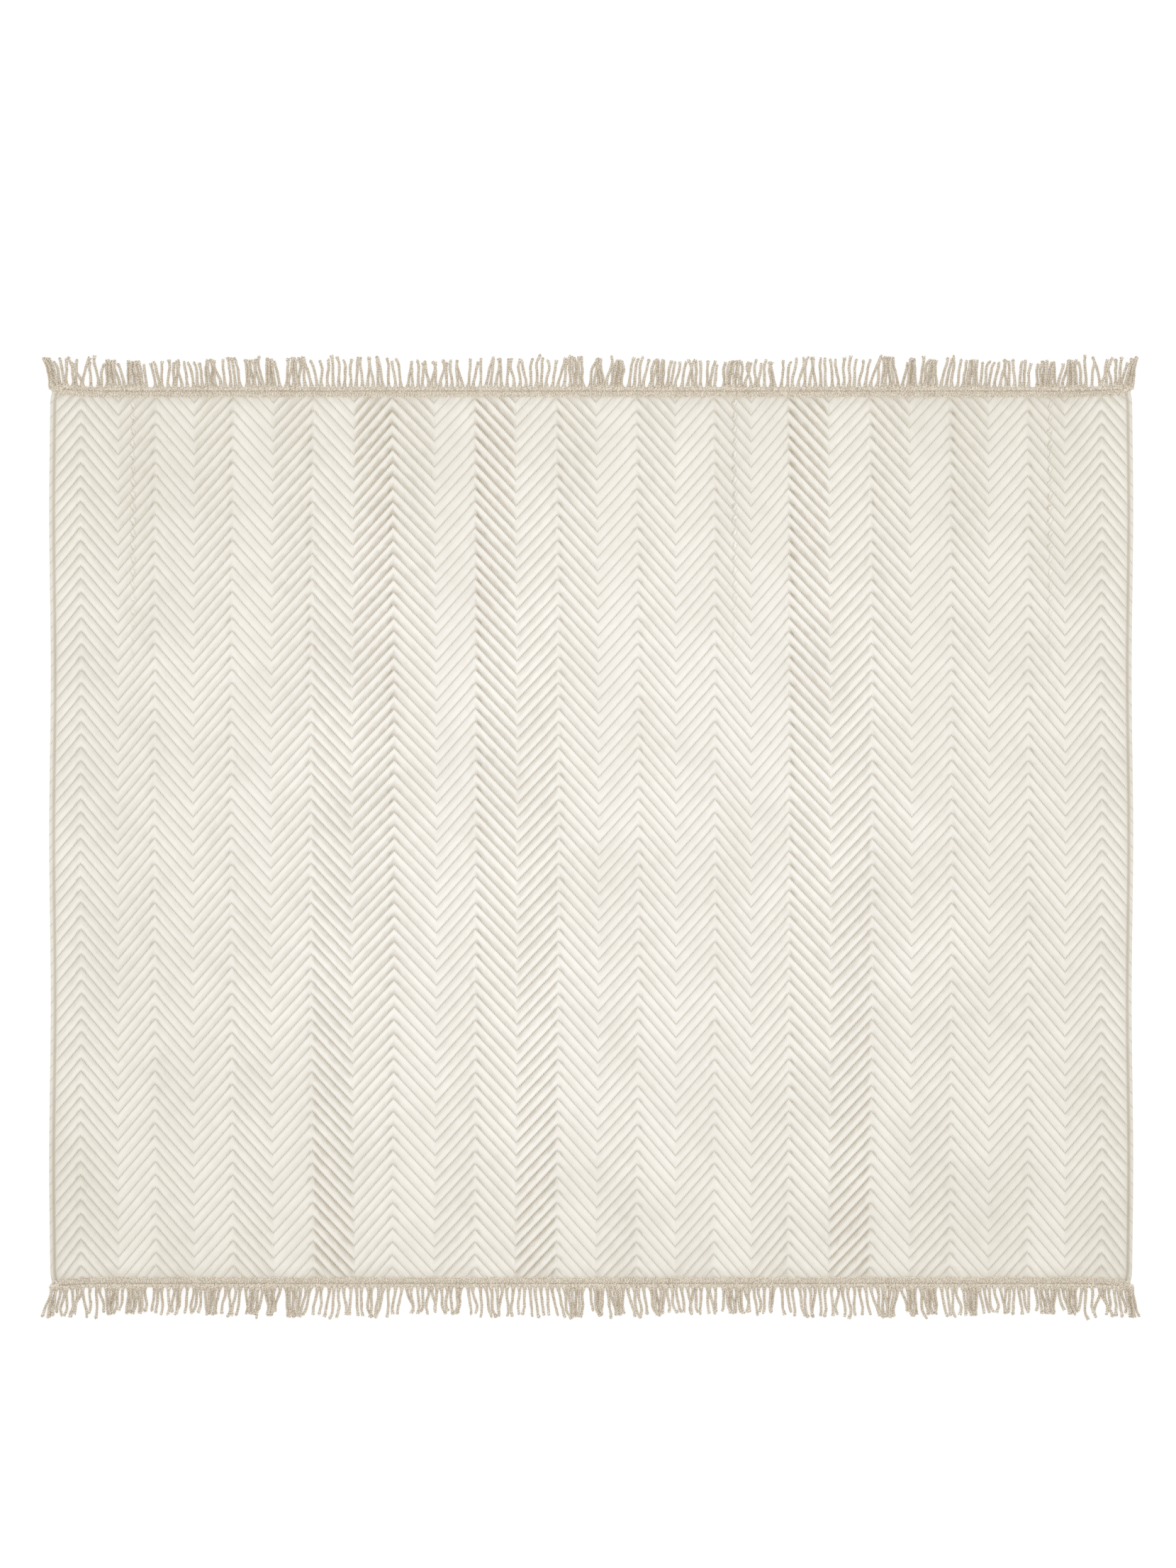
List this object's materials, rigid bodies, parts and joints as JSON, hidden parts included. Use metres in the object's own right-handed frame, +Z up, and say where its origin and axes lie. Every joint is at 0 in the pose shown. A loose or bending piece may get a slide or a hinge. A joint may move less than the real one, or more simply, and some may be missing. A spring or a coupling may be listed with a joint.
{
  "type": "quilted throw blanket with fringe",
  "caption": "Cream quilted velvet throw with zigzag channels and a twisted cord fringe on both long edges, lying flat.",
  "frame": {"origin": "middle of the throw on the surface it lies on, under the centre of its bounding box", "axes": "+X along the fringed edges, +Y from the near fringe to the far one, +Z up out of the quilted face"},
  "size_m": [1.5398, 1.3622, 0.0068],
  "materials": {
    "velvet": "quilted short pile velvet, soft sheen",
    "cord": "matte twisted cord"
  },
  "bodies": {
    "root": {"quilted_cloth": "velvet", "fringe_far": "cord", "fringe_near": "cord"}
  },
  "joints": []
}
